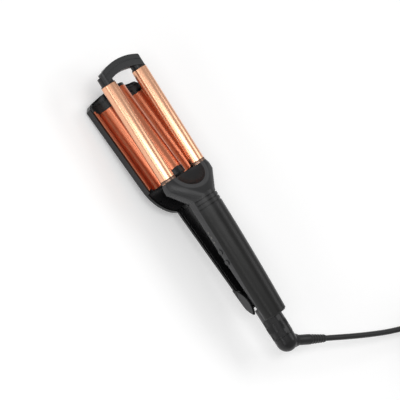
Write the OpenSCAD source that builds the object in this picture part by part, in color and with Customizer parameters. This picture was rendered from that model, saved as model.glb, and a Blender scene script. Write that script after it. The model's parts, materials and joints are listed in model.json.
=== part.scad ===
// Hair waver: two heated barrels on the handle close into a two-channel heated
// clamp jaw that hinges at the rear of the handle. Millimetres, +Z up, +X to the tips.
// Lengths along X are counted from the base of the barrels, heights from their axes.

/* [Barrels] */
// Outer diameter of each barrel
barrel_d = 17.8; // [16:0.1:18.4]
// Heated length of the barrels in front of the yoke
barrel_l = 120; // [110:1:130]
// Distance between the two barrel axes
barrel_pitch = 46.5; // [45:0.1:48]
// Wall of the barrel tubes
barrel_wall = 1.2; // [0.8:0.1:1.6]
// Depth that a barrel is seated inside the yoke
barrel_seat = 11; // [8:0.5:12]

/* [Tip bridge] */
// Thickness of the bow along the barrels, at its middle
bow_t = 13.2; // [11:0.1:15]
// Distance of the bow's front from the barrel ends
bow_reach = 20.3; // [19:0.1:22]
// Half width of the bow
bow_half_w = 29.5; // [28:0.1:30.5]
// Height of the bow
bow_h = 9.3; // [7:0.1:11]
// Diameter of the round end plugs
plug_d = 15.2; // [14:0.1:16]

/* [Handle] */
// Grip diameter at the neck
neck_d = 34.6; // [34:0.1:36]
// Grip diameter at the rear
rear_d = 28; // [27:0.1:30]
// Distance of the neck behind the barrels
neck_x = 34; // [33:0.5:36]
// Distance of the grip's rear end behind the barrels
rear_x = 188; // [186:1:192]
// Height of the grip axis over the barrel axes
grip_z = 4.3; // [3.8:0.1:5]
// Wall of the handle shells
shell_wall = 2; // [1.6:0.1:2.4]
// Step of the lower shell inside the upper shell's surface
seam_step = 0.4; // [0.2:0.1:0.6]
// Half width of the flat sides of the lower shell
flat_side = 16.4; // [16:0.1:17]
// Width of each decorative groove at the neck
groove_w = 1.4; // [0.8:0.1:2]
// Depth of each decorative groove
groove_depth = 0.9; // [0.3:0.1:1]

/* [Yoke] */
// Radius of the rounded horns around the barrel bases
horn_r = 11; // [10.6:0.1:11.4]
// Radius of the scooped bowl between the horns
bowl_r = 21.8; // [20:0.1:22.2]
// Height of the bowl's centre over the barrel axes
bowl_z = 20; // [19:0.1:21]
// Underside of the yoke below the barrel axes
yoke_under = 10.4; // [10:0.1:10.6]

/* [Clamp jaw] */
// Radius of each heated channel
channel_r = 10.9; // [10:0.1:11.2]
// Height of the ridge's centre over the barrel axes
ridge_z = 1.2; // [0.4:0.1:2]
// Thickness of the wave plate
plate_t = 1.2; // [0.8:0.1:1.4]
// Half width of the wave plate
plate_half_w = 36; // [35.4:0.1:36.4]
// Depth of the plate's lips below the barrel axes when closed
lip_drop = 3.4; // [3:0.1:4]
// Distance of the channels' front ends behind the tip of the jaw
channel_end = 17.5; // [16:0.5:21]
// Distance of the ridge's front end behind the tip of the jaw
ridge_end = 6; // [5:0.5:8]
// Half width of the jaw casing
jaw_half_w = 37.2; // [37:0.1:38]
// Length of the jaw casing in front of the barrel bases
jaw_l = 120; // [119:0.5:124]
// Underside of the jaw casing below the barrel axes when closed
jaw_under = 19.4; // [19.2:0.1:20.5]
// Wall of the jaw casing
jaw_wall = 2.2; // [1.8:0.1:2.4]

/* [Clamp lever] */
// Half width of the lever
lever_half_w = 14.5; // [14.5:0.1:15]
// Height of the lever's rim
rim_h = 4.4; // [4:0.1:5]
// Opening of the jaws as they stand at rest, in degrees
open_angle = 6; // [4:0.1:6.4]

/* [Hinge] */
// Distance of the hinge pin behind the barrels
hinge_x = 161; // [159:0.5:162]
// Depth of the hinge pin below the barrel axes
hinge_z = 12; // [11.8:0.1:12.2]
// Diameter of the hinge pin
pin_d = 4; // [3:0.1:4.4]
// Radial clearance of the pin in the lever's cheeks
pin_gap = 0.05; // [0.02:0.01:0.1]

/* [Controls] */
// Diameter of the two buttons
button_d = 6; // [5:0.1:7]
// Travel of the buttons
button_travel = 0.8; // [0.5:0.1:1]
// Diameter of the three heat lights
light_d = 2.4; // [2:0.1:3]

/* [Cord swivel] */
// Diameter of the swivel collar
collar_d = 24.6; // [24:0.1:25.2]
// Length of the swivel collar
collar_l = 25; // [23:0.5:27]
// Depth of the swivel axis below the barrel axes
collar_z = 4.4; // [4:0.1:4.8]
// Diameter of the turning spigot
spigot_d = 12; // [11:0.1:13]
// Angle of the elbow's outlet from the handle's axis, in degrees
elbow_angle = 63; // [60:1:66]
// Diameter of the strain relief at its root
relief_d = 11.8; // [11:0.1:12.4]
// Length of the strain relief
relief_l = 38; // [30:1:44]
// Diameter of the mains cord
cord_d = 6.6; // [6:0.1:7]

/* [Hidden] */
$fn = 64;

black = "#1b1b1c";
dark_grey = "#2e2e30";
grey = "#4c4c4e";
copper = "#c8693c";
steel = "#b8babd";
brass = "#c9a24b";
white = "#e6e4dc";

channel_l = jaw_l - channel_end;
ridge_l = jaw_l - ridge_end;
eps = 0.02;
hair_gap = 0.3;
far = 60;
half_pitch = barrel_pitch / 2;
barrel_r = barrel_d / 2;
bore_r = barrel_r - barrel_wall;
neck_r = neck_d / 2;
rear_r = rear_d / 2;
collar_r = collar_d / 2;
side = [-1, 1];

// Rings at the barrel bases
insulator_l = 1.2;
trim_l = 2;
ring_step = 0.35;
yoke_front = -(insulator_l + trim_l);
ring_r = barrel_r + ring_step;

// Yoke
horn_l = 12;
horn_corner_l = 5;
horn_corner_r = horn_r - 1.4;
yoke_wall = 2;
bowl_wall = 1.8;

// Line where the two handle shells meet, as lengths and heights
seam = [[20, 4.5], [-8, 4.5], [-neck_x, 9.6], [-86, 9.2], [-126, 7.3], [-155, 4.8], [-rear_x - 20, 0.4]];
seam_top = 40;

// Hinge
lug_r = 4.6;
lug_half_w = 11.5;
lug_slot = 6.2;
lug_l = 11;
lug_top = -5;
cheek_in = 12.3;
cheek_r = 21;
cheek_top = -5;
cheek_half_l = 15.7;
lever_under = 19.2;
lever_end = hinge_x + 11.5;
lever_wall = 2;
lever_floor = 2.2;

// Lever and casing outline
shoulder_x = 36;
shoulder_front = 4;
shoulder_round = 1.3;
base_top = 12;
chamfer = 3;
tip_flat = 33;
tip_side = 9;
tip_bow = 4.6;

// Place of the part: middle of the length, standing on the lowest corner of the open jaw
front_x = barrel_l + bow_reach;
elbow_x = rear_x + collar_l + 7;
back_x = elbow_x + collar_r;
middle_x = (back_x - front_x) / 2;
stand_z = hinge_z + (jaw_l - chamfer + hinge_x) * sin(open_angle) + (jaw_under - hinge_z) * cos(open_angle);

module placed() {
  translate([middle_x, 0, stand_z]) children();
}

module opened() {
  placed() translate([-hinge_x, 0, -hinge_z]) rotate([0, open_angle, 0])
    translate([hinge_x, 0, hinge_z]) children();
}

module xcyl(x0, x1, r, y = 0, z = 0) {
  translate([x0, y, z]) rotate([0, 90, 0]) cylinder(h = x1 - x0, r = r);
}

module ycyl(y0, y1, r, x = 0, z = 0) {
  translate([x, y0, z]) rotate([-90, 0, 0]) cylinder(h = y1 - y0, r = r);
}

module zcyl(z0, z1, r, x = 0, y = 0) {
  translate([x, y, z0]) cylinder(h = z1 - z0, r = r);
}

module block(x0, x1, y0, y1, z0, z1) {
  translate([x0, y0, z0]) cube([x1 - x0, y1 - y0, z1 - z0]);
}

// A shape drawn across the length, with widths and heights, and drawn out along X
module drawn_x(x0, x1) {
  translate([x0, 0, 0]) rotate([90, 0, 90]) linear_extrude(x1 - x0) children();
}

// A shape drawn from the side, with lengths and heights, and drawn out across the width
module drawn_y(half_w) {
  translate([0, half_w, 0]) rotate([90, 0, 0]) linear_extrude(2 * half_w) children();
}

// A block or a cylinder on each side, given by its inner and outer distance from the middle
module both_blocks(x0, x1, y0, y1, z0, z1) {
  for (s = side) block(x0, x1, s > 0 ? y0 : -y1, s > 0 ? y1 : -y0, z0, z1);
}

module both_ycyl(y0, y1, r, x, z) {
  for (s = side) ycyl(s > 0 ? y0 : -y1, s > 0 ? y1 : -y0, r, x, z);
}

module pair() {
  for (s = side) translate([0, s * half_pitch, 0]) children();
}

// ---------------------------------------------------------------- handle

grip_steps = 10;
grip_curve = 2.2;
grip_round = 1.6;
function grip_r(t) = neck_r - (neck_r - rear_r) * pow(t, grip_curve);
function grip_x(t) = -neck_x - (rear_x - grip_round - neck_x) * t;

module grip_form(inset = 0, front = 0) {
  translate([0, 0, grip_z]) rotate([0, 90, 0]) rotate_extrude()
    polygon(concat(
      [[0, grip_x(0) + front], [grip_r(0) - inset, grip_x(0) + front]],
      [for (i = [0 : grip_steps]) [grip_r(i / grip_steps) - inset, grip_x(i / grip_steps)]],
      [[rear_r - grip_round - inset, -rear_x + inset], [0, -rear_x + inset]]
    ));
}

module yoke_form(inset = 0) {
  hull($fn = 32) {
    xcyl(-neck_x - 2, -neck_x, neck_r - inset, 0, grip_z, $fn = 32);
    for (s = side) {
      xcyl(yoke_front - horn_l, yoke_front - horn_corner_l, horn_r - inset, s * half_pitch, 0, $fn = 32);
      xcyl(yoke_front - horn_corner_l, yoke_front - inset, horn_corner_r - inset,
           s * half_pitch, 0, $fn = 32);
    }
  }
}

module above_seam() {
  drawn_y(far) polygon(concat(seam, [[-rear_x - 20, seam_top], [20, seam_top]]));
}

module handle_hollow() {
  difference() {
    union() {
      grip_form(shell_wall + seam_step, 4);
      intersection() {
        yoke_form(yoke_wall + seam_step);
        block(-neck_x - 3, yoke_front - yoke_wall, -far, far, -yoke_under + yoke_wall, seam_top);
      }
    }
    block(-rear_x - 1, -rear_x + shell_wall, -far, far, -far, far);
  }
}

module barrel_bores(clearance = 0) {
  pair() xcyl(-barrel_seat - eps, 5, barrel_r + clearance);
}

groove_x = [38.3, 43.2, 48.1];
screw_x = [56, 150];
screw_r = 1.5;
screw_head_r = 2.9;
screw_head_gap = 0.2;
screw_head_l = 2;
screw_seat = -5.6;
screw_boss_r = 3.4;
screw_top = grip_z + neck_r - 14;
boss_low = -14;
collar_room = 10;

module handle_bosses() {
  for (x = screw_x) zcyl(boss_low, seam_top, screw_boss_r, -x, 0);
}

module upper_shell() {
  color(black) placed() difference() {
    intersection() {
      union() {
        difference() {
          union() {
            grip_form();
            yoke_form();
          }
          handle_hollow();
        }
        intersection() {
          handle_bosses();
          grip_form(shell_wall / 2);
        }
      }
      above_seam();
    }
    translate([0, 0, bowl_z]) sphere(r = bowl_r + bowl_wall);
    barrel_bores();
    for (x = groove_x) translate([-x - groove_w / 2, 0, grip_z]) rotate([0, 90, 0]) difference() {
      cylinder(h = groove_w, r = neck_r + 1);
      translate([0, 0, -1]) cylinder(h = groove_w + 2, r = neck_r - groove_depth);
    }
    for (x = screw_x) zcyl(-far, screw_top, screw_r, -x, 0);
    xcyl(-rear_x - 1, -rear_x + collar_room, collar_r - shell_wall, 0, -collar_z);
  }
}

collar_front = rear_x - 14;
button_x = [98.3, 111.6];
button_z = 2.4;
light_x = [73.6, 79.7, 85.8];
button_hole_gap = 0.25;

module lower_shell() {
  color(grey) placed() difference() {
    union() {
      difference() {
        union() {
          intersection() {
            grip_form(seam_step);
            block(-rear_x - 1, 0, -flat_side, flat_side, -far, far);
          }
          intersection() {
            yoke_form(seam_step);
            block(-neck_x - 3, 0, -far, far, -yoke_under, far);
          }
          xcyl(-rear_x, -collar_front, collar_r, 0, -collar_z);
        }
        handle_hollow();
        xcyl(-rear_x - 1, -collar_front - shell_wall, collar_r - shell_wall, 0, -collar_z);
      }
      both_blocks(-hinge_x - lug_l / 2, -hinge_x + lug_l / 2, lug_slot, lug_half_w, -hinge_z, lug_top);
      both_ycyl(lug_slot, lug_half_w, lug_r, -hinge_x, -hinge_z);
      intersection() {
        union() {
          handle_bosses();
          for (p = board_screw) zcyl(boss_low, board_low, post_r, -p[0], p[1]);
        }
        grip_form(shell_wall / 2);
      }
    }
    above_seam();
    for (p = board_screw) zcyl(board_screw_low, board_low + 1, small_screw_r, -p[0], p[1]);
    translate([0, 0, bowl_z]) sphere(r = bowl_r + bowl_wall);
    barrel_bores();
    ycyl(-far, far, pin_d / 2, -hinge_x, -hinge_z);
    ycyl(-lug_slot, lug_slot, spring_mean_r + spring_wire, -hinge_x, -hinge_z);
    block(-hinge_x, -hinge_x + leg_l + spring_gap, -spring_half_w - spring_gap, -spring_half_w + spring_gap,
          -hinge_z, -hinge_z + spring_mean_r + spring_gap);
    for (x = button_x) ycyl(0, far, button_d / 2 + button_hole_gap, -x, button_z);
    for (x = light_x) ycyl(0, far, light_d / 2, -x, button_z);
    for (x = screw_x) {
      zcyl(-far, far, screw_r, -x, 0);
      zcyl(-far, screw_seat, screw_head_r, -x, 0);
    }
  }
}

module yoke_bowl() {
  color(dark_grey) placed() difference() {
    intersection() {
      yoke_form(seam_step / 2);
      translate([0, 0, bowl_z]) sphere(r = bowl_r + bowl_wall);
    }
    translate([0, 0, bowl_z]) sphere(r = bowl_r);
    barrel_bores();
  }
}

// ---------------------------------------------------------------- barrels

module barrel(s) {
  color(copper) placed() translate([0, s * half_pitch, 0]) difference() {
    xcyl(-barrel_seat, barrel_l, barrel_r);
    xcyl(-barrel_seat - 1, barrel_l + 1, bore_r);
  }
}

module barrel_left() {
  barrel(1);
}

module barrel_right() {
  barrel(-1);
}

module base_ring(x0, x1) {
  placed() pair() difference() {
    xcyl(x0, x1, ring_r);
    xcyl(x0 - 1, x1 + 1, barrel_r);
  }
}

module barrel_trim_rings() {
  color(steel) base_ring(yoke_front, -insulator_l);
}

module barrel_insulators() {
  color("#4a3426") base_ring(-insulator_l, 0);
}

carrier_l = 6;
carrier_h = 5;
carrier_half_w = 26.5;
carrier_in = 15;
carrier_bar_z = [-7, -4.2];
lead_r = 1;
lead_sides = 8;

// Heat-resistant bracket behind the barrels, with a seat for each and holes for the leads
module barrel_carrier() {
  color(white) placed() difference() {
    union() {
      both_blocks(-barrel_seat - carrier_l, -barrel_seat, carrier_in, carrier_half_w,
                  -carrier_h, carrier_h - 1);
      block(-barrel_seat - carrier_l, -barrel_seat, -carrier_in - 1, carrier_in + 1,
            carrier_bar_z[0], carrier_bar_z[1]);
    }
    pair() xcyl(-barrel_seat - carrier_l - 1, 0, lead_r + 1.2);
  }
}

core_start = 6;
plug_reach = 11;
plug_flange = 1.5;
plug_spigot = 7;
plug_flange_r = barrel_r - 0.3;
core_l = barrel_l - plug_spigot - core_start - 9;
heater_t = 2.4;
heater_w = 8;
heater_start = core_start + 10;
heater_l = core_l - 24;
probe_l = 12;

// Two aluminium half rounds that press the heater strip against each barrel
module heater_cores() {
  color(steel) placed() pair() for (s = side) intersection() {
    xcyl(core_start, core_start + core_l, bore_r);
    block(core_start, core_start + core_l, -bore_r, bore_r,
          s > 0 ? heater_t / 2 : -bore_r, s > 0 ? bore_r : -heater_t / 2);
  }
}

module barrel_heaters() {
  color(white) placed() pair()
    block(heater_start, heater_start + heater_l, -heater_w / 2, heater_w / 2,
          -heater_t / 2, heater_t / 2);
}

module barrel_probe() {
  color("#7a4a2a") placed()
    xcyl(core_start - probe_l / 2, core_start + probe_l / 2, heater_t / 2 - 0.05,
         half_pitch + heater_w / 2 - 1, 0);
}

// ---------------------------------------------------------------- tip

bow_chord_drop = 6.8;
bow_outer_r = (pow(bow_half_w, 2) + pow(bow_chord_drop, 2)) / (2 * bow_chord_drop);
bow_inner_r = 60;
bow_low = -1;

module tip_plugs() {
  color(black) placed() pair() difference() {
    union() {
      xcyl(barrel_l - plug_spigot, barrel_l, bore_r);
      xcyl(barrel_l, barrel_l + plug_flange, plug_flange_r);
      xcyl(barrel_l, barrel_l + plug_reach, plug_d / 2);
    }
    xcyl(barrel_l + plug_reach - 7, barrel_l + plug_reach + 1, bridge_screw_r);
  }
}

bridge_screw_r = 1.3;
bridge_head_r = 2.6;
bridge_head_l = 2;
bridge_wall = 1.5;

module bow_slab(outer_r, inner_r, half_w, z0, z1) {
  intersection() {
    difference() {
      zcyl(z0, z1, outer_r, front_x - outer_r, 0, $fn = 128);
      zcyl(z0 - 1, z1 + 1, inner_r, front_x - bow_t - inner_r, 0, $fn = 128);
    }
    block(barrel_l, front_x + 1, -half_w, half_w, z0, z1);
  }
}

module tip_bridge() {
  color(black) placed() difference() {
    intersection() {
      bow_slab(bow_outer_r, bow_inner_r, bow_half_w, bow_low, bow_low + bow_h);
      union() {
        block(barrel_l, front_x + 1, -half_pitch, half_pitch, bow_low, bow_low + bow_h);
        for (s = side) hull($fn = 32) {
          xcyl(barrel_l, front_x, 4.2, s * (bow_half_w - 4.2), bow_low + bow_h - 4.2, $fn = 32);
          xcyl(barrel_l, front_x, 2.4, s * (bow_half_w - 2.8), bow_low + 2.4, $fn = 32);
          block(barrel_l, front_x, s * half_pitch - 2, s * half_pitch + 2, bow_low, bow_low + bow_h);
        }
      }
    }
    pair() {
      xcyl(barrel_l - 1, barrel_l + plug_reach, plug_d / 2);
      xcyl(barrel_l - 1, barrel_l + plug_flange, plug_flange_r);
      xcyl(barrel_l, front_x + 1, bridge_screw_r);
      xcyl(barrel_l + plug_reach + bridge_wall, front_x + 1, bridge_head_r);
    }
    difference() {
      zcyl(bow_low + bow_h - 0.7, bow_low + bow_h + 1, bow_outer_r - 5.4,
           front_x - bow_outer_r, 0, $fn = 128);
      zcyl(bow_low, bow_low + bow_h + 2, bow_outer_r - 6.4, front_x - bow_outer_r, 0, $fn = 128);
    }
  }
}

module bridge_screws() {
  color(steel) placed() pair() {
    xcyl(barrel_l + plug_reach - 6, barrel_l + plug_reach + bridge_wall + eps, bridge_screw_r);
    xcyl(barrel_l + plug_reach + bridge_wall, barrel_l + plug_reach + bridge_wall + bridge_head_l,
         bridge_head_r);
  }
}

// ---------------------------------------------------------------- inside the handle

board_t = 1.6;
board_low = -2.6;
board_top = board_low + board_t;
board_half_w = 10.5;
board_front = 62;
board_back = 142;
board_screw = [[66, -7], [138, 7]];
board_screw_low = board_low - 4;
post_r = 2.4;
small_screw_r = 1;
small_head_r = 1.9;
small_head_l = 1.2;

module circuit_board() {
  color("#2f6b45") placed() difference() {
    block(-board_back, -board_front, -board_half_w, board_half_w, board_low, board_top);
    for (p = board_screw) zcyl(board_low - 1, board_top + 1, small_screw_r, -p[0], p[1]);
  }
}

relay_h = 11;
relay_x = [-135, -119];
sink_h = 12;
sink_x = [-87, -84];
relay_y = [-9, 3];
capacitor_r = 5;
capacitor_x = [-114, -96];
capacitor_y = -4;

// Relay, capacitor and the plate that cools the power switch
module power_parts() {
  color("#3a3a3c") placed() {
    block(relay_x[0], relay_x[1], relay_y[0], relay_y[1], board_top, board_top + relay_h);
    difference() {
      xcyl(capacitor_x[0], capacitor_x[1], capacitor_r, capacitor_y, board_top + capacitor_r - hair_gap);
      block(capacitor_x[0] - 1, capacitor_x[1] + 1, -far, far, board_top - hair_gap - 1, board_top);
    }
    block(sink_x[0], sink_x[1], relay_y[0], relay_y[1], board_top, board_top + sink_h);
  }
}

module board_screws() {
  color(steel) placed() for (p = board_screw) {
    zcyl(board_screw_low, board_top, small_screw_r, -p[0], p[1]);
    zcyl(board_top, board_top + small_head_l, small_head_r, -p[0], p[1]);
  }
}

button_proud = 1.2;
button_inner_y = 11.6;
button_flange_l = 1;
button_flange_step = 0.9;
switch_gap = 0.15;
switch_front = button_inner_y - button_travel - switch_gap;
switch_y = [6, 10.2];
switch_half_l = 3;
switch_h = 6.4;
switch_stem_r = 1.5;

module button_switches() {
  color(steel) placed() for (x = button_x) {
    block(-x - switch_half_l, -x + switch_half_l, switch_y[0], switch_y[1],
          board_top, board_top + switch_h);
    ycyl(switch_y[1], switch_front, switch_stem_r, -x, button_z);
  }
}

module button(x) {
  color(dark_grey) placed() {
    ycyl(button_inner_y, flat_side + button_proud, button_d / 2, -x, button_z);
    ycyl(button_inner_y, button_inner_y + button_flange_l, button_d / 2 + button_flange_step,
         -x, button_z);
  }
}

module power_button() {
  button(button_x[0]);
}

module heat_button() {
  button(button_x[1]);
}

light_proud = 0.3;
light_y = [6, 9];
light_half_l = 1.6;
light_h = 5;

module heat_lights() {
  color("#d9d2c4") placed() for (x = light_x) {
    ycyl(light_y[1], flat_side + light_proud, light_d / 2, -x, button_z);
    block(-x - light_half_l, -x + light_half_l, light_y[0], light_y[1], board_top, board_top + light_h);
  }
}

module handle_screws() {
  color(steel) placed() for (x = screw_x) {
    zcyl(screw_seat - eps, screw_top - 1, screw_r, -x, 0);
    zcyl(screw_seat - screw_head_l, screw_seat, screw_head_r - screw_head_gap, -x, 0);
  }
}

lead_y = 7;

module board_leads() {
  color(black) placed() for (s = side)
    tube([[-board_front, s * lead_y, 0], [-neck_x - 10, s * lead_y, 0], [2 - neck_x, s * (lead_y + 5), 0],
          [12 - neck_x, s * (half_pitch - 2.8), 0], [-barrel_seat - carrier_l, s * half_pitch, 0],
          [heater_start, s * half_pitch, 0]], lead_r, lead_sides);
}

// ---------------------------------------------------------------- collar and swivel

collar_tail = 5;
pad_count = 8;
pad_l = 6;
pad_w = 6.4;
pad_depth = 0.8;
spigot_gap = 0.05;
spigot_r = spigot_d / 2;
spigot_groove = 0.8;
clip_t = 1.2;
ring_nose_r = 4;
ring_t = 1.5;

module swivel_collar() {
  color(black) placed() translate([0, 0, -collar_z]) difference() {
    union() {
      xcyl(-rear_x - collar_l, -rear_x, collar_r);
      xcyl(-rear_x, -rear_x + collar_tail, collar_r - shell_wall);
    }
    xcyl(-rear_x - collar_l - 1, -rear_x + collar_tail + 1, spigot_r + spigot_gap);
    for (i = [0 : pad_count - 1], x = [-rear_x - 1.5 - pad_l, -rear_x - collar_l + 1.5])
      rotate([i * 360 / pad_count, 0, 0])
        block(x, x + pad_l, -pad_w / 2, pad_w / 2, collar_r - pad_depth, collar_r + 2);
  }
}

elbow_out = 14;
elbow_dir = [-cos(elbow_angle), -sin(elbow_angle), 0];
elbow_at = [-elbow_x, 0, -collar_z];

// Draws along the outlet of the elbow, +X outwards from the bend
module along_outlet() {
  translate(elbow_at) rotate([0, 0, 180 + elbow_angle]) children();
}

elbow_r = collar_r - 0.3;
dome_steps = 12;
clip_x = -rear_x + collar_tail + hair_gap;
nose_x = clip_x + clip_t + 1;
nose_end = nose_x + 4;

// Turned body of the elbow about the swivel axis: dome, shank, spigot with clip groove and nose
module elbow_core() {
  translate([0, 0, -collar_z]) rotate([0, 90, 0]) rotate_extrude() polygon(concat(
    [for (i = [0 : dome_steps]) let (a = 90 * i / dome_steps)
      [elbow_r * sin(a), -elbow_x - elbow_r * cos(a)]],
    [[elbow_r, -rear_x - collar_l - hair_gap], [spigot_r, -rear_x - collar_l - hair_gap],
     [spigot_r, clip_x], [spigot_r - spigot_groove, clip_x], [spigot_r - spigot_groove, clip_x + clip_t],
     [spigot_r, clip_x + clip_t], [spigot_r, nose_x], [ring_nose_r, nose_x], [ring_nose_r, nose_end],
     [0, nose_end]]
  ));
}

module swivel_elbow() {
  color(black) placed() difference() {
    union() {
      elbow_core();
      difference() {
        along_outlet() hull($fn = 32) {
          xcyl(0, 1, elbow_r - 1.7, $fn = 32);
          xcyl(elbow_out - 1, elbow_out, relief_d / 2 + 1, $fn = 32);
        }
        block(-rear_x - collar_l - hair_gap, 0, -far, far, -far, far);
      }
    }
    xcyl(-elbow_x, nose_end + 1, 2, 0, -collar_z);
  }
}

brush_half_w = 11.6;
brush_z = [1.6, 4.6];
brush_x = [nose_x, nose_end];

// Block above the slip rings that carries their brushes
module brush_block() {
  color("#5b4a35") placed()
    block(brush_x[0], brush_x[1], -brush_half_w, brush_half_w, brush_z[0], brush_z[1]);
}

module swivel_clip() {
  color(steel) placed() translate([0, 0, -collar_z]) difference() {
    xcyl(clip_x, clip_x + clip_t, spigot_r + 1.8);
    xcyl(clip_x - 1, clip_x + clip_t + 1, spigot_r - spigot_groove);
  }
}

slip_ring_x = [nose_x + 0.4, nose_x + 2.2];
slip_ring_l = 1.2;

module slip_rings() {
  color(brass) placed() translate([0, 0, -collar_z]) for (x = slip_ring_x) difference() {
    xcyl(x, x + slip_ring_l, ring_nose_r + ring_t);
    xcyl(x - 1, x + slip_ring_l + 1, ring_nose_r);
  }
}

relief_ribs = 6;
relief_plain = 0.42;
rib_step = 0.5;
relief_end_r = cord_d / 2 + 1.2;

// Boot on the elbow's outlet: plain at its root, then a taper with shallow ribs
module strain_relief() {
  root_r = relief_d / 2;
  root_l = relief_l * relief_plain;
  color(black) placed() along_outlet() translate([elbow_out, 0, 0]) rotate([0, 90, 0]) rotate_extrude()
    polygon(concat(
      [[0, 0], [root_r, 0], [root_r, root_l]],
      [for (i = [0 : relief_ribs - 1], k = [0.1, 0.4, 0.4, 1])
        let (t = (i + k) / relief_ribs, r = root_r + (relief_end_r - root_r) * t)
        [r - ((k == 0.4) ? 0 : rib_step), root_l + (relief_l - root_l) * t - ((k == 1) ? eps : 0)]],
      [[relief_end_r - rib_step, relief_l], [0, relief_l]]
    ));
}

// ---------------------------------------------------------------- mains cord

cord_r = cord_d / 2;
cord_sides = 8;
loop_sides = 6;
loop_rings = 24;

// Where the cord leaves the strain relief, in the part's own frame
cord_exit = elbow_at + (elbow_out + relief_l) * elbow_dir + [middle_x, 0, stand_z];

// Coil of the spare length
tie_t = 1.2;
coil_gap = 0.6;
coil_step = cord_d + coil_gap;
coil_turns = 6.25;
coil_layers = 4;
coil_mid_r = 35.6;
coil_at = [-306, -214];
coil_in_angle = -15;
coil_low = cord_r + tie_t + 0.3;
coil_span = coil_turns / coil_layers * coil_step;
coil_out_r = coil_mid_r + coil_span / 2;
coil_top = coil_low + (coil_layers - 1) * coil_step;

function heading(a) = [sin(a), -cos(a), 0];
function coil_r(u) = let (w = u / coil_turns * coil_layers, k = floor(w), f = w - k)
  coil_out_r - coil_span * (k % 2 == 0 ? f : 1 - f);
function climb(u, k) = let (f = (u - k * coil_turns / coil_layers) / 0.5 + 0.5)
  f <= 0 ? 0 : f >= 1 ? 1 : f * f * (3 - 2 * f);
function coil_z(u) = coil_top - coil_step * (climb(u, 1) + climb(u, 2) + climb(u, 3));
function coil_point(u) = let (a = coil_in_angle - 360 * u)
  [coil_at[0] + coil_r(u) * cos(a), coil_at[1] + coil_r(u) * sin(a), coil_z(u)];
coil_end_angle = coil_in_angle - 360 * coil_turns;
coil_start = coil_point(0) - cord_d * heading(coil_in_angle);
coil_end = coil_point(coil_turns) + cord_d * heading(coil_end_angle);
coil_count = ceil(coil_turns * loop_rings);
coil_path = concat(
  [coil_start],
  [for (i = [0 : coil_count]) coil_point(coil_turns * i / coil_count)],
  [coil_end]
);

// Free stretch from the strain relief to the coil
cord_points = concat([cord_exit], [
  [-203.5, -58, 44], [-212.5, -76, 43.4], [-221, -94, 42.2], [-229, -112, 40.5],
  [-236.5, -130, 38.4], [-243, -148, 36], [-249, -166, 33.4], [-254.5, -184, 30.8],
  [-259.8, -202, 28.4]
], [coil_start]);

plug_axis_z = 7;
plug_angle = 165;
plug_at = [-352, -244.5, plug_axis_z];

// Short free stretch from the coil to the plug
plug_lead_points = concat([coil_end], [
  [-330, -250.4, 5.2], [-337, -248.5, 6], [-344, -246.6, 6.7]
], [plug_at]);

function unit(v) = v / norm(v);
function tangent(p, i) = unit(p[min(i + 1, len(p) - 1)] - p[max(i - 1, 0)]);
function ring_axes(t) = let (u = unit(cross([0, 0, 1], t))) [u, cross(t, u)];

// One closed tube along a list of points, with its ends square to the path
module tube(path, r, sides) {
  n = len(path);
  rings = [for (i = [0 : n - 1]) let (a = ring_axes(tangent(path, i)))
    for (j = [0 : sides - 1]) path[i] + r * (cos(j * 360 / sides) * a[0] + sin(j * 360 / sides) * a[1])];
  walls = [for (i = [0 : n - 2], j = [0 : sides - 1])
    let (a = i * sides + j, b = i * sides + (j + 1) % sides)
    each [[a, a + sides, b], [b, a + sides, b + sides]]];
  first_cap = [for (j = [1 : sides - 2]) [0, j, j + 1]];
  last_cap = [for (j = [1 : sides - 2]) [(n - 1) * sides, (n - 1) * sides + j + 1, (n - 1) * sides + j]];
  polyhedron(points = rings, faces = concat(walls, first_cap, last_cap));
}

// Least gap of the coil to itself, measured between points most of a turn apart
coil_gap_now = min([for (i = [0 : coil_count], j = [i + 16 : coil_count + 2])
  norm(coil_path[i] - coil_path[j])]) - cord_d;
echo(coil_gap = coil_gap_now);

module mains_cord() {
  color(black) tube(cord_points, cord_r, cord_sides);
}

module cord_coil() {
  color(black) tube(coil_path, cord_r, loop_sides);
}

module plug_lead() {
  color(black) tube(plug_lead_points, cord_r, cord_sides);
}

tie_angle = -60;
tie_l = 9;

module cord_tie() {
  outer = coil_out_r + cord_r + 0.4;
  inner = coil_out_r - coil_span - cord_r - 0.4;
  top = coil_top + cord_r + 0.4;
  color(dark_grey) translate([coil_at[0], coil_at[1], 0]) rotate([0, 0, tie_angle]) difference() {
    block(inner - tie_t, outer + tie_t, -tie_l / 2, tie_l / 2, 0, top + tie_t);
    block(inner, outer, -tie_l, tie_l, tie_t, top);
  }
}

plug_l = 34;
plug_half_w = 16.5;
pin_r = 2;
pin_l = 19;
pin_root_r = 1.6;
pin_root_l = 5;
pin_root_out = 0.5;
pin_tip_l = 1;
pin_pitch = 18.6;

module at_plug() {
  translate(plug_at) rotate([0, 0, plug_angle]) children();
}

module plug_body() {
  color(black) at_plug() difference() {
    hull($fn = 32) {
      xcyl(0, 1, cord_r + 1.6, $fn = 32);
      translate([plug_l - 12, 0, 0]) for (s = side) {
        xcyl(0, 12, plug_axis_z - 0.1, s * (plug_half_w - plug_axis_z), 0, $fn = 32);
      }
    }
    for (s = side) xcyl(plug_l - pin_root_l, plug_l + 1, pin_root_r, s * pin_pitch / 2, 0);
  }
}

module plug_pins() {
  color(steel) at_plug() for (s = side) {
    xcyl(plug_l - pin_root_l, plug_l + pin_root_out, pin_root_r, s * pin_pitch / 2, 0);
    xcyl(plug_l + pin_root_out, plug_l + pin_l - pin_tip_l, pin_r, s * pin_pitch / 2, 0);
    xcyl(plug_l + pin_l - pin_tip_l, plug_l + pin_l, pin_root_r, s * pin_pitch / 2, 0);
  }
}

// ---------------------------------------------------------------- hinge

pin_head_l = 0.8;

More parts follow.
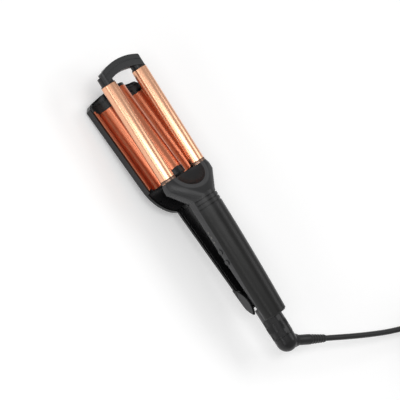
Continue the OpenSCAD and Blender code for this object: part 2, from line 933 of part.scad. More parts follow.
module hinge_pin() {
  color(steel) placed()
    ycyl(-cheek_out + pin_head_l, cheek_out - pin_head_l, pin_d / 2, -hinge_x, -hinge_z);
}

spring_wire = 1.2;
spring_mean_r = 3.1;
spring_turns = 6;
spring_rings = 12;
spring_half_w = 5;
spring_sides = 6;
spring_gap = 0.9;
leg_l = 7;
spring_count = spring_turns * spring_rings;
spring_path = [for (i = [0 : spring_count]) let (a = 90 + 360 * i / spring_rings)
  [-hinge_x + spring_mean_r * cos(a), spring_half_w * (2 * i / spring_count - 1),
   -hinge_z + spring_mean_r * sin(a)]];

// Torsion spring round the hinge pin, with one leg anchored in the lower shell
module hinge_spring() {
  leg = [for (x = [leg_l, leg_l / 2]) [x - hinge_x, -spring_half_w, spring_mean_r - hinge_z]];
  color(steel) placed() tube(concat(leg, spring_path), spring_wire / 2, spring_sides);
}

// ---------------------------------------------------------------- clamp

cheek_out = lever_half_w;
shoulder_steps = 10;
function shoulder(t, w) = [
  shoulder_front - (shoulder_front + shoulder_x) * sin(90 * t),
  lever_half_w + (w - lever_half_w) * pow(cos(90 * t), shoulder_round)
];
function bow_x(y) = jaw_l - tip_bow * pow(y / tip_flat, 2);
function half_outline(inset) = let (w = jaw_half_w) concat(
  [for (i = [0 : 4]) let (y = tip_flat * i / 4) [bow_x(y) - inset, y - (i == 4 ? inset / 2 : 0)]],
  [[jaw_l - tip_side - inset / 2, w - inset]],
  [for (i = [0 : shoulder_steps]) let (p = shoulder(i / shoulder_steps, w))
    [p[0] + inset * 0.3, p[1] - inset]]
);
function jaw_outline(inset) = let (h = half_outline(inset), n = len(h))
  concat(h, [for (i = [n - 1 : -1 : 1]) [h[i][0], -h[i][1]]]);

module jaw_slab(inset, z0, z1) {
  translate([0, 0, z0]) linear_extrude(z1 - z0) polygon(jaw_outline(inset));
}

cap_fit = 0.05;
base_plate_t = 2.4;
base_plate_top = -base_top - 0.2;
casing_top = -6.6;
casing_floor = -jaw_under + jaw_wall;
lever_top = -lever_under + rim_h;
lever_chamfer = 1.5;
post_x = [-16, channel_l + 5.5];
post_y = 27;
clamp_screw_r = 1.2;
clamp_head_r = 2.4;
clamp_head_l = 1.2;
clamp_post_r = 3;
clamp_post_top = base_plate_top - base_plate_t - cap_fit;
clamp_screw_top = -12.6;

module lever_bar(half_w, z0, z1, end) {
  block(-end, -shoulder_x + 4, -half_w, half_w, z0, z1);
}

// Lens-shaped plates: where a disc below and a disc above the hinge overlap
module lenses(half_in, half_out, step = 0) {
  intersection() {
    both_ycyl(half_in, half_out, cheek_r - step, -hinge_x, cheek_top - cheek_r);
    both_ycyl(half_in, half_out, cheek_r - step, -hinge_x, cheek_r - lever_under);
  }
}

module cheeks(half_in, half_out) {
  lenses(half_in, half_out);
  intersection() {
    both_ycyl(half_in, half_out, cheek_r, -hinge_x, cheek_top - cheek_r);
    block(-hinge_x, -hinge_x + cheek_r, -half_out, half_out, -lever_under, 0);
  }
}

// What rounds off the rear end of the lever from below
module lever_rear_cut() {
  difference() {
    block(-rear_x, -hinge_x, -far, far, -far, -hinge_z);
    ycyl(-far, far, cheek_r, -hinge_x, cheek_r - lever_under);
  }
}

module clamp_shell() {
  color(black) opened() difference() {
    union() {
      difference() {
        union() {
          hull() {
            jaw_slab(0, -jaw_under + chamfer, casing_top);
            jaw_slab(chamfer, -jaw_under, -jaw_under + 0.5);
          }
          hull() {
            lever_bar(lever_half_w, -lever_under + lever_chamfer, lever_top, lever_end - 1);
            lever_bar(lever_half_w - lever_chamfer, -lever_under, lever_top, lever_end);
          }
        }
        block(-rear_x, yoke_front + 0.6, -far, far, -base_top, 0);
        block(-rear_x, -shoulder_x + 1, -far, far, lever_top, 0);
        jaw_slab(jaw_wall, casing_floor, 0);
        lever_bar(lever_half_w - lever_wall, -lever_under + lever_floor, 0, lever_end - lever_wall);
        block(-rear_x, -hinge_x + cheek_half_l, -cheek_in, cheek_in, -lever_under + lever_floor, 0);
      }
      difference() {
        cheeks(cheek_in, cheek_out);
        block(-rear_x, 0, -cheek_in, cheek_in, -lever_under + lever_floor, 0);
      }
      for (x = post_x, s = side) zcyl(-jaw_under + 0.5, clamp_post_top, clamp_post_r, x, s * post_y);
    }
    lever_rear_cut();
    pair() xcyl(channel_l, jaw_l + 1, channel_r - cap_step);
    ycyl(-far, far, pin_d / 2 + pin_gap, -hinge_x, -hinge_z);
    for (x = post_x, s = side) {
      zcyl(-jaw_under - 1, 0, clamp_screw_r, x, s * post_y);
      zcyl(-jaw_under - 1, -jaw_under + clamp_head_l, clamp_head_r, x, s * post_y);
    }
  }
}

lens_t = 0.5;
lens_step = 0.6;

// Satin lens-shaped covers let into the outer faces of the cheeks
module hinge_caps() {
  color(grey) opened() lenses(cheek_out, cheek_out + lens_t, lens_step);
}

ridge_r = sqrt(pow(half_pitch, 2) + pow(ridge_z, 2)) - channel_r;
meet_angle = atan2(ridge_z, half_pitch);
meet_y = half_pitch - channel_r * cos(meet_angle);
plate_skirt = 3.2;
wave_steps = 36;
section_low = -30;

// Right channel of the wave from its lip to the ridge, lowered by an inset
function channel_arc(inset) = let (r = channel_r + inset, a = -asin((lip_drop + inset) / r))
  [for (i = [0 : wave_steps]) let (t = a + (meet_angle - 180 - a) * i / wave_steps)
    [half_pitch + r * cos(t), r * sin(t)]];
function ridge_arc(inset) = [for (i = [1 : wave_steps - 1])
  let (t = (180 + 2 * meet_angle) * i / wave_steps - meet_angle)
  [(ridge_r - inset) * cos(t), ridge_z + (ridge_r - inset) * sin(t)]];
function backwards(list) = [for (i = [len(list) - 1 : -1 : 0]) list[i]];
function wave_line(inset) = concat(
  [[plate_half_w - inset, -lip_drop - inset]],
  channel_arc(inset),
  ridge_arc(inset),
  [for (p = backwards(channel_arc(inset))) [-p[0], p[1]]],
  [[inset - plate_half_w, -lip_drop - inset]]
);

// Section under the wave's surface
module wave_section(inset) {
  polygon(concat([[plate_half_w - inset, section_low]], wave_line(inset),
                 [[inset - plate_half_w, section_low]]));
}

// Section of the bent plate with its two side skirts
module wave_sheet() {
  skirt_z = -lip_drop - plate_skirt;
  polygon(concat([[plate_half_w, skirt_z]], wave_line(0), [[-plate_half_w, skirt_z]],
                 [[plate_t - plate_half_w, skirt_z]], backwards(wave_line(plate_t)),
                 [[plate_half_w - plate_t, skirt_z]]));
}

plate_base_x = -2.4;
plate_base_rise = 8;
pocket_r = channel_r + 1.6;
lip_end = channel_l + 3.5;
lip_cut = 8;
ramp_low = -14;

module wave_plate() {
  color(copper) opened() difference() {
    drawn_x(plate_base_x, ridge_l) wave_sheet();
    pair() xcyl(channel_l, ridge_l + 1, pocket_r);
    both_blocks(lip_end, ridge_l + 1, half_pitch + lip_cut, far, section_low, 0);
    drawn_y(far) polygon([[plate_base_x - 1, ramp_low], [plate_base_x, ramp_low],
                         [plate_base_x + plate_base_rise, ridge_z + ridge_r + 1],
                         [plate_base_x - 1, ridge_z + ridge_r + 1]]);
  }
}

cap_step = 0.6;
cap_hollow_l = 8;
cap_hollow_half_w = 9;
cap_hollow_top = -6;
pocket_l = 10;
pocket_drop = 2.2;

// Heat-resistant tip of the jaw, with a groove and a dark pocket for each barrel's end
module tip_cap() {
  color(dark_grey) opened() difference() {
    intersection() {
      union() {
        jaw_slab(jaw_wall + cap_fit, casing_floor, -lip_drop - 2.6);
        jaw_slab(cap_step, casing_top, -lip_drop - 1);
        intersection() {
          jaw_slab(jaw_wall + cap_fit, casing_floor, 30);
          xcyl(ridge_l, jaw_l, ridge_r - 0.4, 0, ridge_z);
        }
      }
      block(channel_l, jaw_l + 1, -far, far, -far, far);
    }
    drawn_x(channel_l - 1, ridge_l) ridge_room();
    pair() {
      xcyl(channel_l - 1, jaw_l + 1, channel_r - cap_step);
      xcyl(channel_l - 1, channel_l + pocket_l, channel_r - cap_step + pocket_drop);
    }
    both_blocks(channel_l - 1, lip_end, half_pitch + lip_cut, far, -10, 0);
    for (s = side) {
      zcyl(-far, clamp_screw_top + 1, clamp_screw_r, post_x[1], s * post_y);
      zcyl(-far, clamp_post_top, clamp_post_r, post_x[1], s * post_y);
    }
    block(channel_l - 1, channel_l + cap_hollow_l, -cap_hollow_half_w, cap_hollow_half_w,
          -far, cap_hollow_top);
  }
}

// Room for the ridge of the plate inside the tip cap
module ridge_room() {
  intersection() {
    translate([-meet_y - 1, -10]) square([2 * meet_y + 2, 40]);
    difference() {
      translate([-far, -far]) square([2 * far, 2 * far]);
      wave_section(plate_t);
    }
  }
}

base_back_x = -33;
ramp_step = 0.5;
base_front_x = plate_base_x + 0.6;

// Block that carries the rear end of the wave plate and closes the jaw towards the lever
module base_block() {
  color(black) opened() difference() {
    union() {
      intersection() {
        jaw_slab(jaw_wall + cap_fit, base_plate_top - base_plate_t, base_plate_top);
        block(base_back_x, base_front_x, -far, far, -far, far);
      }
      intersection() {
        drawn_x(plate_base_x, plate_base_x + plate_base_rise) wave_section(0);
        drawn_y(plate_half_w - plate_t - ramp_step) polygon([
          [plate_base_x - 1, base_plate_top - base_plate_t], [plate_base_x, base_plate_top - base_plate_t],
          [plate_base_x, ramp_low], [plate_base_x + plate_base_rise, ridge_z + ridge_r + 1],
          [plate_base_x - 1, ridge_z + ridge_r + 1]
        ]);
      }
    }
    for (s = side) zcyl(-far, 0, clamp_screw_r, post_x[0], s * post_y);
  }
}

pad_h = 1.3;
pad_r = 3;
pad_x = -14;
pad_y = 15;

module closing_pads() {
  color("#101011") opened() for (s = side)
    zcyl(base_plate_top, base_plate_top + pad_h, pad_r, pad_x, s * pad_y);
}

saddle_half_w = 8;
saddle_low = casing_floor + 2;
saddle_x = [8, channel_l - 6.5];
saddle_h = 7;
plate_heater_half_w = 6;

module plate_saddles() {
  color(steel) opened() pair() drawn_x(saddle_x[0], saddle_x[1]) difference() {
    translate([-saddle_half_w, saddle_low]) square([2 * saddle_half_w, saddle_h]);
    circle(r = channel_r + plate_t + cap_fit);
  }
}

module plate_heaters() {
  color(white) opened() pair()
    block(saddle_x[0], saddle_x[1], -plate_heater_half_w, plate_heater_half_w, casing_floor, saddle_low);
}

probe_r = 2.2;
probe_x = [40, 58];

module plate_probe() {
  color("#7a4a2a") opened() xcyl(probe_x[0], probe_x[1], probe_r, 0, casing_floor + probe_r);
}

module clamp_screws() {
  color(steel) opened() for (x = post_x, s = side) {
    zcyl(-jaw_under, clamp_screw_top, clamp_screw_r, x, s * post_y);
    zcyl(-jaw_under, -jaw_under + clamp_head_l, clamp_head_r - 0.2, x, s * post_y);
  }
}

cover_back = 146;
cover_front = 37;
cover_t = 1;
cover_lift = 0.4;
cover_rail = 2;
cover_fit = 0.1;
lever_in = lever_half_w - lever_wall - cover_fit;
lever_floor_z = -lever_under + lever_floor;
cover_top = lever_top + cover_lift;
lever_lead_r = 0.7;

module lever_cover() {
  color(black) opened() {
    block(-cover_back, -cover_front, -lever_in, lever_in, cover_top - cover_t, cover_top);
    both_blocks(-cover_back, -cover_front, lever_in - cover_rail, lever_in,
                lever_floor_z, cover_top - cover_t + eps);
  }
}

module lever_leads() {
  z = lever_floor_z + lever_lead_r;
  color(black) opened() for (s = side)
    tube([[-cover_back - 4, s * 4, z], [-36, s * 4, z], [-28, s * 6, z], [-8, s * 14, z],
          [0, s * (half_pitch - 5), z], [saddle_x[0], s * (half_pitch - 5), z]], lever_lead_r, lead_sides);
}

upper_shell();
lower_shell();
yoke_bowl();
barrel_left();
barrel_right();
barrel_trim_rings();
barrel_insulators();
barrel_carrier();
heater_cores();
barrel_heaters();
barrel_probe();
tip_plugs();
tip_bridge();
bridge_screws();
circuit_board();
power_parts();
board_screws();
button_switches();
heat_lights();
handle_screws();
board_leads();
swivel_collar();
brush_block();
hinge_pin();
hinge_spring();
power_button();
heat_button();
clamp_shell();
wave_plate();
tip_cap();
base_block();
plate_saddles();
plate_heaters();
plate_probe();
lever_cover();
lever_leads();
hinge_caps();
clamp_screws();
closing_pads();
swivel_elbow();
slip_rings();
swivel_clip();
strain_relief();
mains_cord();
cord_coil();
cord_tie();
plug_lead();
plug_body();
plug_pins();
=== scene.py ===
import json
import math

import bmesh
import bpy
from mathutils import Matrix, Vector


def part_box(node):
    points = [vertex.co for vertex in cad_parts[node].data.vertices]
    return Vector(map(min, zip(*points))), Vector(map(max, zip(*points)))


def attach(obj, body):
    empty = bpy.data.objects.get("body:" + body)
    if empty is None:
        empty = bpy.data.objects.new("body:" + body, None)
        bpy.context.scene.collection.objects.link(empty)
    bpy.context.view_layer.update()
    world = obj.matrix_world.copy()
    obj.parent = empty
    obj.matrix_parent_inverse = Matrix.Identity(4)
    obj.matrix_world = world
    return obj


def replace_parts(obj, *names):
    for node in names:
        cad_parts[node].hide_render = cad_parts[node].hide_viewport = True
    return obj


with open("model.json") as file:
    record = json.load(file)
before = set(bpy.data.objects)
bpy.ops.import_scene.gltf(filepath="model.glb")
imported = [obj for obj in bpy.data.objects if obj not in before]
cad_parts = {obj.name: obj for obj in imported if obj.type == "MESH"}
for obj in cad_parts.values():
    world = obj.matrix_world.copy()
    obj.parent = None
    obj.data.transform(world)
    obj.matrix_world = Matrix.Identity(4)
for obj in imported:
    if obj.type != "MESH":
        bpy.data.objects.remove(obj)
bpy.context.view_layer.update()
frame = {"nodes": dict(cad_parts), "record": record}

MM = 0.001

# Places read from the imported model
BARREL_LOW, BARREL_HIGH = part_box("barrel_left")
BASE_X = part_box("barrel_insulators")[1][0]
AXIS_Z = (BARREL_LOW[2] + BARREL_HIGH[2]) / 2
AXIS_Y = (BARREL_LOW[1] + BARREL_HIGH[1]) / 2
BARREL_R = (BARREL_HIGH[2] - BARREL_LOW[2]) / 2
COLLAR_LOW, COLLAR_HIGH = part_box("swivel_collar")
COLLAR_Z = (COLLAR_LOW[2] + COLLAR_HIGH[2]) / 2
COLLAR_R = (COLLAR_HIGH[1] - COLLAR_LOW[1]) / 2


# ---------------------------------------------------------------- camera

CAMERA_AT = (0.02198, 0.91140, 1.32871)
CAMERA_RIGHT = (-0.531375, -0.687604, 0.494814)
CAMERA_UP = (0.847088, -0.437531, 0.301677)
CAMERA_BACK = (0.009062, 0.579455, 0.814954)
CAMERA_LENS = 129.1


def photo_camera():
    """Camera at the photograph's angle, turned so that the handle leans to the lower right."""
    data = bpy.data.cameras.new("photo_camera")
    data.sensor_width = 36
    data.lens = CAMERA_LENS
    data.clip_start = 0.05
    data.clip_end = 50
    camera = bpy.data.objects.new("photo_camera", data)
    bpy.context.collection.objects.link(camera)
    turn = Matrix((CAMERA_RIGHT, CAMERA_UP, CAMERA_BACK)).transposed().to_4x4()
    camera.matrix_world = Matrix.Translation(CAMERA_AT) @ turn
    bpy.context.scene.camera = camera


# ---------------------------------------------------------------- materials

def srgb(red, green, blue):
    """Linear colour of a colour given from 0 to 255."""
    channels = []
    for value in (red, green, blue):
        value /= 255
        channels.append(value / 12.92 if value <= 0.04045 else ((value + 0.055) / 1.055) ** 2.4)
    return (*channels, 1.0)


class Finish:
    """A procedural material on Object coordinates, built up one effect at a time."""

    def __init__(self, name, colour, roughness, metallic=0.0, **sockets):
        self.material = bpy.data.materials.new(name)
        self.material.use_nodes = True
        self.material.diffuse_color = colour
        self.nodes = self.material.node_tree.nodes
        self.links = self.material.node_tree.links
        self.shader = self.nodes["Principled BSDF"]
        self.colour = colour
        self.roughness = roughness
        self.place = self.nodes.new("ShaderNodeTexCoord").outputs["Object"]
        self.last_bump = None
        self.shader.inputs["Base Color"].default_value = colour
        self.shader.inputs["Roughness"].default_value = roughness
        self.shader.inputs["Metallic"].default_value = metallic
        for socket, value in sockets.items():
            label = socket.replace("_", " ").title().replace("Ior", "IOR")
            self.shader.inputs[label].default_value = value

    def noise(self, size, stretch=(1, 1, 1), detail=2.0):
        """Noise whose features are about size metres across, longer along axes with a small stretch."""
        mapping = self.nodes.new("ShaderNodeMapping")
        mapping.inputs["Scale"].default_value = stretch
        self.links.new(self.place, mapping.inputs["Vector"])
        noise = self.nodes.new("ShaderNodeTexNoise")
        noise.inputs["Scale"].default_value = 1 / size
        noise.inputs["Detail"].default_value = detail
        self.links.new(mapping.outputs["Vector"], noise.inputs["Vector"])
        return noise.outputs["Fac"]

    def spread(self, source, low, high):
        """Maps the middle of a noise to the range from low to high."""
        span = self.nodes.new("ShaderNodeMapRange")
        span.inputs["From Min"].default_value = 0.3
        span.inputs["From Max"].default_value = 0.7
        span.inputs["To Min"].default_value = low
        span.inputs["To Max"].default_value = high
        self.links.new(source, span.inputs["Value"])
        return span.outputs["Result"]

    def mottle(self, size, spread, stretch=(1, 1, 1)):
        """Roughness that varies by spread either way, in patches of a size."""
        source = self.noise(size, stretch)
        result = self.spread(source, self.roughness - spread, self.roughness + spread)
        self.links.new(result, self.shader.inputs["Roughness"])
        return self

    def tint(self, other, size, stretch=(1, 1, 1), share=1.0):
        """Colour that drifts towards another colour in patches."""
        mix = self.nodes.new("ShaderNodeMix")
        mix.data_type = "RGBA"
        mix.inputs["A"].default_value = self.colour
        mix.inputs["B"].default_value = other
        self.links.new(self.spread(self.noise(size, stretch), 0.0, share), mix.inputs["Factor"])
        self.links.new(mix.outputs["Result"], self.shader.inputs["Base Color"])
        return self

    def beyond(self, other, start, width):
        """Another colour past a place along X, with a soft edge of a width."""
        span = self.nodes.new("ShaderNodeMapRange")
        span.inputs["From Min"].default_value = start
        span.inputs["From Max"].default_value = start + width
        self.links.new(self.along_x(), span.inputs["Value"])
        return self.over(other, span.outputs["Result"])

    def bands(self, other, places, width):
        """Another colour in narrow bands across X."""
        total = None
        for place in places:
            band = self.nodes.new("ShaderNodeMath")
            band.operation = "COMPARE"
            self.links.new(self.along_x(), band.inputs[0])
            band.inputs[1].default_value = place
            band.inputs[2].default_value = width / 2
            if total:
                both = self.nodes.new("ShaderNodeMath")
                both.operation = "MAXIMUM"
                self.links.new(total, both.inputs[0])
                self.links.new(band.outputs[0], both.inputs[1])
                band = both
            total = band.outputs[0]
        return self.over(other, total)

    def round_area(self, other, centre, radius, fade, inside=True):
        """Another colour inside or outside a ball, with a soft edge of a width."""
        reach = self.nodes.new("ShaderNodeVectorMath")
        reach.operation = "DISTANCE"
        self.links.new(self.place, reach.inputs[0])
        reach.inputs[1].default_value = centre
        span = self.nodes.new("ShaderNodeMapRange")
        span.inputs["From Min"].default_value = radius
        span.inputs["From Max"].default_value = radius + fade
        span.inputs["To Min"].default_value = 1.0 if inside else 0.0
        span.inputs["To Max"].default_value = 0.0 if inside else 1.0
        self.links.new(reach.outputs["Value"], span.inputs["Value"])
        return self.over(other, span.outputs["Result"])

    def paler_to_camera(self, strength):
        """A little white light that only the camera and the reflections see."""
        path = self.nodes.new("ShaderNodeLightPath")
        seen = self.nodes.new("ShaderNodeMath")
        seen.operation = "MAXIMUM"
        self.links.new(path.outputs["Is Camera Ray"], seen.inputs[0])
        self.links.new(path.outputs["Is Glossy Ray"], seen.inputs[1])
        level = self.nodes.new("ShaderNodeMath")
        level.operation = "MULTIPLY"
        self.links.new(seen.outputs[0], level.inputs[0])
        level.inputs[1].default_value = strength
        self.shader.inputs["Emission Color"].default_value = (1, 1, 1, 1)
        self.links.new(level.outputs[0], self.shader.inputs["Emission Strength"])
        return self

    def along_x(self):
        split = self.nodes.new("ShaderNodeSeparateXYZ")
        self.links.new(self.place, split.inputs[0])
        return split.outputs["X"]

    def over(self, other, share):
        """Mixes another colour over the present one by a share."""
        mix = self.nodes.new("ShaderNodeMix")
        mix.data_type = "RGBA"
        below = self.shader.inputs["Base Color"]
        mix.inputs["A"].default_value = self.colour
        if below.links:
            self.links.new(below.links[0].from_socket, mix.inputs["A"])
        mix.inputs["B"].default_value = other
        self.links.new(share, mix.inputs["Factor"])
        self.links.new(mix.outputs["Result"], below)
        return self

    def grain(self, size, height, stretch=(1, 1, 1)):
        """Bump of a height in metres, from noise of a size."""
        bump = self.nodes.new("ShaderNodeBump")
        bump.inputs["Distance"].default_value = height
        bump.inputs["Strength"].default_value = 1.0
        self.links.new(self.noise(size, stretch, 3.0), bump.inputs["Height"])
        if self.last_bump:
            self.links.new(self.last_bump, bump.inputs["Normal"])
        self.last_bump = bump.outputs["Normal"]
        self.links.new(self.last_bump, self.shader.inputs["Normal"])
        return self


ALONG = (0.04, 1, 1)
NECK_START = BASE_X - 62 * MM
NECK_FADE = 26 * MM
# Painted shade: the soft black turns near black in bands of GROOVE_W over these grooves.
GROOVES = [BASE_X - x * MM for x in (38.3, 43.2, 48.1)]
GROOVE_W = 1.4 * MM
BOWL_AT = (BASE_X, 0, AXIS_Z + 20 * MM)
BOWL_R = 21.8 * MM
# Painted highlight: a lighter grey ring round the bowl's rim, on the upper shell and on the bowl's own
# edge, stands in for light caught by a rim that the form lacks.
RIM_PAINTED_HIGHLIGHT = (66, 66, 67)
RIM_START = 0.1 * MM
RIM_EDGE = 0.3 * MM
RIM_WIDTH = 3.6 * MM
RIM_FADE = 1.6 * MM


def make_finishes():
    """Every finish of the hair waver, by the name of the record's slot it belongs to."""
    made = {
        "soft_black": Finish("soft_touch_black", srgb(17, 17, 16), 0.37, specular_ior_level=0.3)
        .mottle(0.02, 0.03).tint(srgb(13, 13, 13), 0.03).beyond(srgb(40, 40, 41), NECK_START, NECK_FADE)
        # painted highlight: lighter grey ring round the bowl's rim
        .round_area(srgb(*RIM_PAINTED_HIGHLIGHT), BOWL_AT, BOWL_R + RIM_WIDTH, RIM_FADE)
        # painted shade: near-black bands over the neck grooves
        .bands(srgb(5, 5, 5), GROOVES, GROOVE_W).grain(0.0006, 0.000012),
        "gloss_black": Finish("smooth_black", srgb(22, 22, 23), 0.3, specular_ior_level=0.3)
        .mottle(0.015, 0.04),
        "grey_plastic": Finish("satin_dark_grey", srgb(52, 52, 53), 0.42, specular_ior_level=0.36)
        .mottle(0.01, 0.04).grain(0.0007, 0.00001),
        "copper_coat": Finish("copper_coating", srgb(241, 184, 150), 0.27, 1.0)
        .tint(srgb(238, 178, 143), 0.05, ALONG),
        "brown_insulator": Finish("brown_insulator", srgb(70, 42, 30), 0.45)
        .mottle(0.003, 0.06).grain(0.0006, 0.00001),
        "satin_metal": Finish("satin_metal", srgb(205, 205, 206), 0.3, 1.0)
        .mottle(0.002, 0.06).grain(0.0005, 0.000005),
        "bare_aluminium": Finish("bare_aluminium", srgb(200, 201, 203), 0.4, 1.0)
        .mottle(0.004, 0.06, ALONG).grain(0.0008, 0.00001, ALONG),
        "heater_white": Finish("white_ceramic", srgb(226, 222, 210), 0.6)
        .mottle(0.004, 0.05).grain(0.0008, 0.00001),
        "probe_resin": Finish("brown_resin", srgb(120, 66, 38), 0.35).mottle(0.002, 0.05),
        "board_green": Finish("board_green", srgb(44, 104, 68), 0.4)
        .mottle(0.004, 0.05).tint(srgb(36, 90, 58), 0.003),
        "part_grey": Finish("moulded_part", srgb(60, 60, 62), 0.5).mottle(0.003, 0.05),
        "light_lens": Finish("milky_light_guide", srgb(96, 94, 90), 0.3).mottle(0.001, 0.04),
        "lead_red": Finish("red_lead", srgb(160, 54, 44), 0.5).mottle(0.003, 0.05),
        "brush_resin": Finish("brush_resin", srgb(92, 76, 54), 0.55).mottle(0.003, 0.05),
        "ring_brass": Finish("slip_ring_brass", srgb(214, 172, 96), 0.28, 1.0).mottle(0.002, 0.05),
        "bumper_rubber": Finish("bumper_rubber", srgb(22, 22, 23), 0.75, specular_ior_level=0.3)
        .mottle(0.002, 0.05).grain(0.0005, 0.00001),
        "cord_rubber": Finish("cord_sheath", srgb(24, 24, 25), 0.42, specular_ior_level=0.35)
        .mottle(0.006, 0.05).grain(0.0008, 0.00001),
        "plate_copper": Finish("plate_copper", srgb(207, 128, 97), 0.28, 1.0)
        .mottle(0.03, 0.02, ALONG).tint(srgb(201, 120, 89), 0.05, ALONG),
        "clamp_black": Finish("clamp_gloss_black", srgb(14, 14, 15), 0.22, specular_ior_level=0.3)
        .mottle(0.02, 0.03),
        "tip_black": Finish("tip_satin_black", srgb(38, 39, 40), 0.34, specular_ior_level=0.34)
        .mottle(0.006, 0.05).grain(0.0008, 0.00001),
        # Painted shade: the recessed bowl gets a darker copy of the grey plastic.
        "bowl_painted_shade": Finish("bowl_painted_shade", srgb(34, 34, 35), 0.38, specular_ior_level=0.3)
        .mottle(0.01, 0.04)
        # painted highlight: the lighter grey past the bowl's rim
        .round_area(srgb(*RIM_PAINTED_HIGHLIGHT), BOWL_AT, BOWL_R + RIM_START, RIM_EDGE, inside=False),
        "trim_bronze": Finish("trim_bronze", srgb(118, 96, 84), 0.34, 1.0).mottle(0.002, 0.05),
        "black_steel": Finish("blackened_steel", srgb(44, 44, 46), 0.35, 1.0).mottle(0.002, 0.05),
        "lead_black": Finish("black_lead", srgb(26, 26, 27), 0.5, specular_ior_level=0.3)
        .mottle(0.003, 0.05),
    }
    return {slot: finish.material for slot, finish in made.items()}


# ---------------------------------------------------------------- mesh helpers

def new_piece(name, mesh_build, finish, body):
    """Links an object with the bmesh's faces, smooth, in one finish, riding on a body."""
    mesh = bpy.data.meshes.new(name)
    mesh_build.to_mesh(mesh)
    mesh_build.free()
    piece = bpy.data.objects.new(name, mesh)
    bpy.context.collection.objects.link(piece)
    mesh.materials.append(finish)
    settle(piece, body)
    return piece


def settle(piece, body):
    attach(piece, body)


def apply_modifiers(piece):
    """Turns a piece's live modifiers into its plain mesh."""
    evaluated = piece.evaluated_get(bpy.context.evaluated_depsgraph_get())
    plain = bpy.data.meshes.new_from_object(evaluated)
    piece.modifiers.clear()
    old = piece.data
    piece.data = plain
    bpy.data.meshes.remove(old)


def shade(build, sharp_degrees):
    """Smooth faces, with edges sharper than an angle kept crisp."""
    limit = math.radians(sharp_degrees)
    for face in build.faces:
        face.smooth = True
    for edge in build.edges:
        edge.smooth = len(edge.link_faces) == 2 and edge.calc_face_angle(0) < limit


def dressed(node, name, finish, body, edge_width, sharp_degrees=28):
    """A node's form with its flats merged and its edges rounded, in place of the node."""
    build = bmesh.new()
    build.from_mesh(frame["nodes"][node].data)
    bmesh.ops.remove_doubles(build, verts=build.verts, dist=0.002 * MM)
    bmesh.ops.dissolve_limit(build, angle_limit=math.radians(0.6), verts=build.verts, edges=build.edges)
    shade(build, sharp_degrees)
    mesh = bpy.data.meshes.new(name)
    build.to_mesh(mesh)
    build.free()
    piece = bpy.data.objects.new(name, mesh)
    bpy.context.collection.objects.link(piece)
    bevel = piece.modifiers.new("rounded_edges", "BEVEL")
    bevel.width = edge_width
    bevel.segments = 2
    bevel.limit_method = "ANGLE"
    bevel.angle_limit = math.radians(sharp_degrees)
    bevel.harden_normals = True
    bevel.use_clamp_overlap = True
    apply_modifiers(piece)
    piece.data.materials.clear()
    piece.data.materials.append(finish)
    settle(piece, body)
    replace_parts(piece, node)
    return piece


def turned(profile, centre, segments=96):
    """Closed solid of revolution about a line along X: profile gives [x, radius] in metres."""
    build = bmesh.new()
    rings = []
    for x, radius in profile:
        ring = []
        for i in range(segments):
            angle = 2 * math.pi * i / segments
            ring.append(build.verts.new((x, centre[0] + radius * math.cos(angle),
                                         centre[1] + radius * math.sin(angle))))
        rings.append(ring)
    for first, second in zip(rings, rings[1:] + rings[:1]):
        for i in range(segments):
            j = (i + 1) % segments
            build.faces.new((first[i], first[j], second[j], second[i]))
    bmesh.ops.recalc_face_normals(build, faces=build.faces)
    return build


# ---------------------------------------------------------------- cord

CORD_R = 3.3 * MM
COIL_STEP = 7.2 * MM
COIL_TURNS = 6.25
COIL_LAYERS = 4
COIL_MID_R = 35.6 * MM
COIL_AT = (-306 * MM, -214 * MM)
COIL_IN_ANGLE = -15
COIL_LOW = CORD_R + 1.5 * MM
COIL_RINGS = 24
FREE_STRETCH = (
    (-203.5, -58, 44), (-212.5, -76, 43.4), (-221, -94, 42.2), (-229, -112, 40.5),
    (-236.5, -130, 38.4), (-243, -148, 36), (-249, -166, 33.4), (-254.5, -184, 30.8),
    (-259.8, -202, 28.4),
)
PLUG_LEAD = ((-330, -250.4, 5.2), (-337, -248.5, 6), (-344, -246.6, 6.7), (-352, -244.5, 7))
ELBOW_ANGLE = 63
ELBOW_BACK = 220 * MM
OUTLET_L = 52 * MM


def coil_point(turn):
    """Point on the coil after a number of turns, wound from its top layer down."""
    span = COIL_TURNS / COIL_LAYERS * COIL_STEP
    layer_share = turn / COIL_TURNS * COIL_LAYERS
    layer = math.floor(layer_share)
    across = layer_share - layer
    radius = COIL_MID_R + span / 2 - span * (across if layer % 2 == 0 else 1 - across)
    height = COIL_LOW + (COIL_LAYERS - 1) * COIL_STEP
    for k in (1, 2, 3):
        share = (turn - k * COIL_TURNS / COIL_LAYERS) / 0.5 + 0.5
        share = min(1, max(0, share))
        height -= COIL_STEP * share * share * (3 - 2 * share)
    angle = math.radians(COIL_IN_ANGLE - 360 * turn)
    return Vector((COIL_AT[0] + radius * math.cos(angle), COIL_AT[1] + radius * math.sin(angle), height))


def heading(degrees):
    angle = math.radians(degrees)
    return Vector((math.sin(angle), -math.cos(angle), 0))


def cord_exit():
    angle = math.radians(ELBOW_ANGLE)
    out = Vector((-math.cos(angle), -math.sin(angle), 0))
    return Vector((BASE_X - ELBOW_BACK, 0, COLLAR_Z)) + OUTLET_L * out


def cord_route():
    """The whole cord, from the end of the strain relief through the coil to the plug."""
    count = math.ceil(COIL_TURNS * COIL_RINGS)
    diameter = 2 * CORD_R
    end_angle = COIL_IN_ANGLE - 360 * COIL_TURNS
    points = [cord_exit()]
    points += [Vector(p) * MM for p in FREE_STRETCH]
    points.append(coil_point(0) - diameter * heading(COIL_IN_ANGLE))
    points += [coil_point(COIL_TURNS * i / count) for i in range(count + 1)]
    points.append(coil_point(COIL_TURNS) + diameter * heading(end_angle))
    points += [Vector(p) * MM for p in PLUG_LEAD]
    return points


